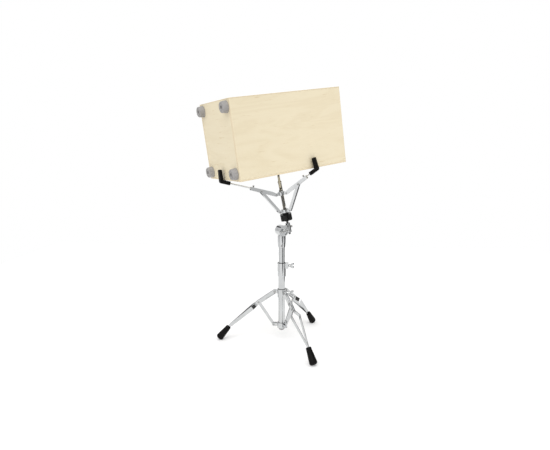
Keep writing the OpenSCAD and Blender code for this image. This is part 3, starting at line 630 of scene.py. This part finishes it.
def veneer(name, slot, along, tone=0.965):
    """Rotary-cut birch: fine lines along the grain, a faint flame, small flecks and open pores."""
    finish = bpy.data.materials.new(name)
    finish.use_nodes = True
    finish["slot"] = slot
    tree = finish.node_tree
    shader = tree.nodes["Principled BSDF"]
    fine, wide, dashed = (
        box_coordinates(tree, [lengthwise if axis == along else crosswise for axis in range(3)])
        for lengthwise, crosswise in ((1.0, 26.0), (1.0, 5.0), (3.0, 30.0)))
    lines = add(tree, "TexNoise", {"Vector": fine, "Scale": 9.0, "Detail": 8.0, "Roughness": 0.6})
    flame = add(tree, "TexNoise", {"Vector": wide, "Scale": 2.6, "Detail": 3.0, "Distortion": 1.6})
    streak = add(tree, "Math", {0: flame.outputs["Fac"], 1: 7.0}, operation="MULTIPLY")
    rings = add(tree, "Math", {0: streak.outputs[0], 1: 1.0}, operation="PINGPONG")
    mixed = add(tree, "Mix", {"Factor": 0.55, "A": lines.outputs["Fac"], "B": rings.outputs[0]},
                data_type="FLOAT")
    wood = bands(tree, mixed.outputs["Result"], [
        (0.15, (0.750 * tone, 0.650 * tone, 0.455 * tone)),
        (0.50, (0.775 * tone, 0.680 * tone, 0.485 * tone)),
        (0.85, (0.790 * tone, 0.698 * tone, 0.505 * tone))])
    speck = add(tree, "TexNoise", {"Vector": dashed, "Scale": 6.0, "Detail": 2.0})
    flecks = bands(tree, speck.outputs["Fac"], [(0.66, grey(1.0)), (0.76, (0.86, 0.80, 0.70))])
    coloured = add(tree, "Mix", {"Factor": 1.0, "A": wood, "B": flecks},
                   data_type="RGBA", blend_type="MULTIPLY")
    tree.links.new(coloured.outputs["Result"], shader.inputs["Base Color"])
    pores = add(tree, "TexNoise", {"Vector": fine, "Scale": 60.0, "Detail": 4.0})
    gloss = add(tree, "MapRange", {"Value": pores.outputs["Fac"], "To Min": 0.42, "To Max": 0.60})
    tree.links.new(gloss.outputs["Result"], shader.inputs["Roughness"])
    relief = add(tree, "Bump", {"Height": pores.outputs["Fac"], "Distance": 0.06 * MM, "Strength": 0.5})
    tree.links.new(relief.outputs["Normal"], shader.inputs["Normal"])
    shader.inputs["Coat Weight"].default_value = 0.12
    shader.inputs["Coat Roughness"].default_value = 0.35
    return finish


def ply_edge(name, thin, start, ply):
    """The sawn edge of a board: plies of turn-about end and long grain, counted from one face."""
    finish = bpy.data.materials.new(name)
    finish.use_nodes = True
    finish["slot"] = "bare_ply"
    tree = finish.node_tree
    shader = tree.nodes["Principled BSDF"]
    parts = add(tree, "SeparateXYZ", {"Vector": box_coordinates(tree)})
    depth = add(tree, "Math", {0: parts.outputs["XYZ"[thin]], 1: start * MM}, operation="SUBTRACT")
    turns = add(tree, "Math", {0: depth.outputs[0], 1: ply * MM}, operation="DIVIDE")
    layers = add(tree, "Math", {0: turns.outputs[0], 1: 1.0}, operation="PINGPONG")
    wear = add(tree, "TexNoise", {"Vector": box_coordinates(tree), "Scale": 160.0, "Detail": 5.0})
    mixed = add(tree, "Mix", {"Factor": 0.25, "A": layers.outputs[0], "B": wear.outputs["Fac"]},
                data_type="FLOAT")
    tree.links.new(bands(tree, mixed.outputs["Result"], [
        (0.30, (0.78, 0.69, 0.50)), (0.52, (0.73, 0.62, 0.42)), (0.70, (0.64, 0.51, 0.33))]),
        shader.inputs["Base Color"])
    shader.inputs["Roughness"].default_value = 0.6
    relief = add(tree, "Bump", {"Height": wear.outputs["Fac"], "Distance": 0.12 * MM, "Strength": 0.6})
    tree.links.new(relief.outputs["Normal"], shader.inputs["Normal"])
    return finish


def cut(piece, cutter):
    """Takes one piece out of another."""
    only(piece)
    hole = piece.modifiers.new("hole", "BOOLEAN")
    hole.object = cutter
    hole.solver = "EXACT"
    bpy.ops.object.modifier_apply(modifier=hole.name)
    bpy.data.objects.remove(cutter)


def board(name, low, high, thin, face, edge, stands_for, port=None, sinks=None):
    """A ply board between two corners of the box's own frame, in mm, with its edges sanded."""
    low, high = Vector(low), Vector(high)
    bpy.ops.object.select_all(action="DESELECT")
    bpy.ops.mesh.primitive_cube_add(size=1, location=(low + high) / 2 * MM, scale=(high - low) * MM)
    piece = bpy.context.object
    piece.name = name
    bpy.ops.object.transform_apply(location=True, rotation=True, scale=True)
    if port:
        cut(piece, port)
    round_over(piece, 0.9)
    if sinks:
        cut(piece, sinks)
        round_over(piece, 0)
    piece.data.materials.clear()
    piece.data.materials.append(face)
    piece.data.materials.append(edge)
    for part in piece.data.polygons:
        part.material_index = 0 if abs(part.normal[thin]) > 0.3 else 1
    piece.data.transform(box_place)
    return fitted(piece, "box", face, stands_for)


long_veneer = veneer("birch_veneer_long", "bare_ply", 0)
# The end boards' veneer takes a tone of its own (0.975 against the sides' 0.965), tuned to how light falls
# on the ends: painted light and shade between ends and sides.
cross_veneer = veneer("birch_veneer_cross", "bare_ply", 1, 0.975)
skin_veneer = veneer("birch_skin", "skin_ply", 0)
half_l, half_w, half_h = BOX_L / 2, BOX_W / 2, BOX_H / 2
bottom, top_of_sides = PORT_BOARD - half_h, half_h - SKIN
PLY = BOARD / 9

SCREW_INSET = 7
screw_spots = [(x * (BOX_L / 4 - SCREW_INSET / 2), y * (half_w - SCREW_INSET))
               for x in range(-2, 3) for y in (-1, 1)]
screw_spots += [(x * (half_l - SCREW_INSET), 0) for x in (-1, 1)]
sinks = []
for x, y in screw_spots:
    sinks.append(turned("sink", [(half_h - 2, 2), (half_h + 0.5, 4.5)], 32))
    sinks[-1].data.transform(Matrix.Translation((x * MM, y * MM, 0)))
only(*sinks)
bpy.ops.object.join()
board("top_skin", (-half_l, -half_w, top_of_sides), (half_l, half_w, half_h), 2, skin_veneer,
      ply_edge("skin_edge", 2, top_of_sides, 1.0), "striking_panel", sinks=bpy.context.object)
PORT_R = 55
bpy.ops.mesh.primitive_cylinder_add(vertices=96, radius=PORT_R * MM, depth=60 * MM,
                                    location=(0, 0, -half_h * MM))
board("port_board", (-half_l, -half_w, -half_h), (half_l, half_w, bottom), 2, long_veneer,
      ply_edge("port_edge", 2, -half_h, 1.2), "port_panel", port=bpy.context.object)
board("front_side", (-half_l, -half_w, bottom), (half_l, BOARD - half_w, top_of_sides), 1, long_veneer,
      ply_edge("front_side_edge", 1, -half_w, PLY), "front_side_panel")
board("rear_side", (-half_l, half_w - BOARD, bottom), (half_l, half_w, top_of_sides), 1, long_veneer,
      ply_edge("rear_side_edge", 1, half_w - BOARD, PLY), "rear_side_panel")
board("left_end", (-half_l, BOARD - half_w, bottom), (BOARD - half_l, half_w - BOARD, top_of_sides),
      0, cross_veneer, ply_edge("left_end_edge", 0, -half_l, PLY), "left_end_panel")
board("right_end", (half_l - BOARD, BOARD - half_w, bottom), (half_l, half_w - BOARD, top_of_sides),
      0, cross_veneer, ply_edge("right_end_edge", 0, half_l - BOARD, PLY), "right_end_panel")


# ======================================================================== snare
# Ten coiled steel wires lie just under the striking panel, soldered to nothing but screwed to a
# birch bar that runs across the box. They are seen only through the sound port.

SNARE_X, SNARE_LENGTH, SNARE_PITCH, SNARE_BAR = -90, 130, 12, 16
COIL_PITCH, COIL_R, WIRE_R = 1.8, 0.6, 0.3
SNARES = 10
bpy.ops.object.select_all(action="DESELECT")
bpy.ops.mesh.primitive_circle_add(vertices=5, radius=WIRE_R * MM, rotation=(pi / 2, 0, 0),
                                  location=(COIL_R * MM, 0, 0))
coil = bpy.context.object
coil.name = "coil_model"
bpy.ops.object.transform_apply(location=True, rotation=True, scale=True)
winding = coil.modifiers.new("winding", "SCREW")
winding.screw_offset = COIL_PITCH * MM
winding.iterations = int(SNARE_LENGTH / COIL_PITCH)
winding.steps = winding.render_steps = 8
bpy.ops.object.modifier_apply(modifier=winding.name)
bpy.ops.object.mode_set(mode="EDIT")
bpy.ops.mesh.select_all(action="SELECT")
bpy.ops.mesh.remove_doubles(threshold=0.001 * MM)
bpy.ops.mesh.fill_holes(sides=5)
bpy.ops.mesh.select_all(action="SELECT")
bpy.ops.mesh.normals_make_consistent(inside=False)
bpy.ops.object.mode_set(mode="OBJECT")
coils = []
for number in range(SNARES):
    start = Vector((SNARE_X, (number - (SNARES - 1) / 2) * SNARE_PITCH, top_of_sides - 2.5)) * MM
    coils.append(copied(coil, f"snare_{number}", box_place @ looking(start, (1, 0, 0))))
only(*coils)
bpy.ops.object.join()
snare = bpy.context.object
snare.name = "snare_coils"
bpy.ops.object.shade_smooth_by_angle(angle=radians(80))
fitted(snare, "box", rivet_steel, "snare_wires")
bpy.data.objects.remove(coil)

bpy.ops.object.select_all(action="DESELECT")
bpy.ops.mesh.primitive_cube_add(
    size=1, location=((SNARE_X - SNARE_BAR / 2) * MM, 0, (top_of_sides - 1.2 - SNARE_BAR / 2) * MM),
    scale=(SNARE_BAR * MM, (BOX_W - 2 * BOARD) * MM, SNARE_BAR * MM))
bar = bpy.context.object
bar.name = "snare_bar"
bpy.ops.object.transform_apply(location=True, rotation=True, scale=True)
round_over(bar, 1.5)
bar.data.transform(box_place)
fitted(bar, "box", cross_veneer)


# ======================================================================== box feet
# Four grey moulded rubber feet on the left end, for when the box stands upright. Each tapers a
# little to a rounded rim, has a ring moulded in its face, and is held by a screw in a recess.

grey_rubber = surface("moulded_grey_rubber", "grey_rubber", (0.298, 0.288, 0.282),
                      (0.342, 0.330, 0.322), 800, (0.55, 0.72), 0.04)
FOOT_R, FOOT_H, FOOT_RIM, FOOT_INSET = 22.5, 22, 4, 29
FOOT_TAPER, RECESS_DEPTH = 2, 10
rim_centre = FOOT_R - FOOT_TAPER - FOOT_RIM
foot_model = turned("foot_model", [
    (0, FOOT_R - 0.6), (0.6, FOOT_R),
    *[(FOOT_H - FOOT_RIM + FOOT_RIM * sin(radians(a)), rim_centre + FOOT_RIM * cos(radians(a)))
      for a in range(0, 91, 15)],
    (FOOT_H, 14.8), (FOOT_H - 0.9, 14.4), (FOOT_H - 0.9, 13.0), (FOOT_H, 12.6),
    (FOOT_H, 8.0), (FOOT_H - 1, 7.1), (RECESS_DEPTH, 7.0)])
round_over(foot_model, 0)

screw_steel = surface("screw_steel_bright", "screw_steel", grey(0.42), grey(0.55),
                      700, (0.2, 0.35), 0.02, metallic=1.0)


def cross_screw(name, steps):
    """A screw head turned along Z through steps in mm, with a cross recess in its top."""
    piece = turned(name, steps, 32)
    head_top = steps[-1][0]
    for turn in (0, pi / 2):
        bpy.ops.mesh.primitive_cube_add(size=1, location=(0, 0, head_top * MM), rotation=(0, 0, turn),
                                        scale=(4.4 * MM, 0.9 * MM, 2.4 * MM))
        cut(piece, bpy.context.object)
    return round_over(piece, 0)


feet, foot_screws = [], []
foot_screw_model = cross_screw("foot_screw_model", [(0, 4), (1.2, 3.8), (2, 3.2), (2.6, 2.3)])
for y in (-1, 1):
    for z in (-1, 1):
        place = box_place @ looking(
            (-half_l * MM, y * (half_w - FOOT_INSET) * MM, z * (half_h - FOOT_INSET) * MM), (-1, 0, 0))
        feet.append(copied(foot_model, "foot", place))
        seat = place @ Matrix.Translation((0, 0, RECESS_DEPTH * MM))
        foot_screws.append(copied(foot_screw_model, "foot_screw", seat))
only(*feet)
bpy.ops.object.join()
bpy.context.object.name = "rubber_feet"
fitted(bpy.context.object, "box", grey_rubber, "box_feet")
bpy.data.objects.remove(foot_model)
bpy.data.objects.remove(foot_screw_model)


# ======================================================================== box screws
# Countersunk steel screws with a cross recess hold the striking panel down round its edge, level
# with it, so that it can be tuned. One round-head screw holds each rubber foot.

skin_screw_model = cross_screw("skin_screw_model", [(-2, 2), (-0.1, 3.9), (0, 3.8)])
screws = []
for number, (x, y) in enumerate(screw_spots):
    place = Matrix.Translation((x * MM, y * MM, half_h * MM)) @ Matrix.Rotation(number * 0.7, 4, "Z")
    screws.append(copied(skin_screw_model, "skin_screw", box_place @ place))
bpy.data.objects.remove(skin_screw_model)
only(*screws, *foot_screws)
bpy.ops.object.join()
bpy.context.object.name = "cross_head_screws"
fitted(bpy.context.object, "box", screw_steel, "box_screws")
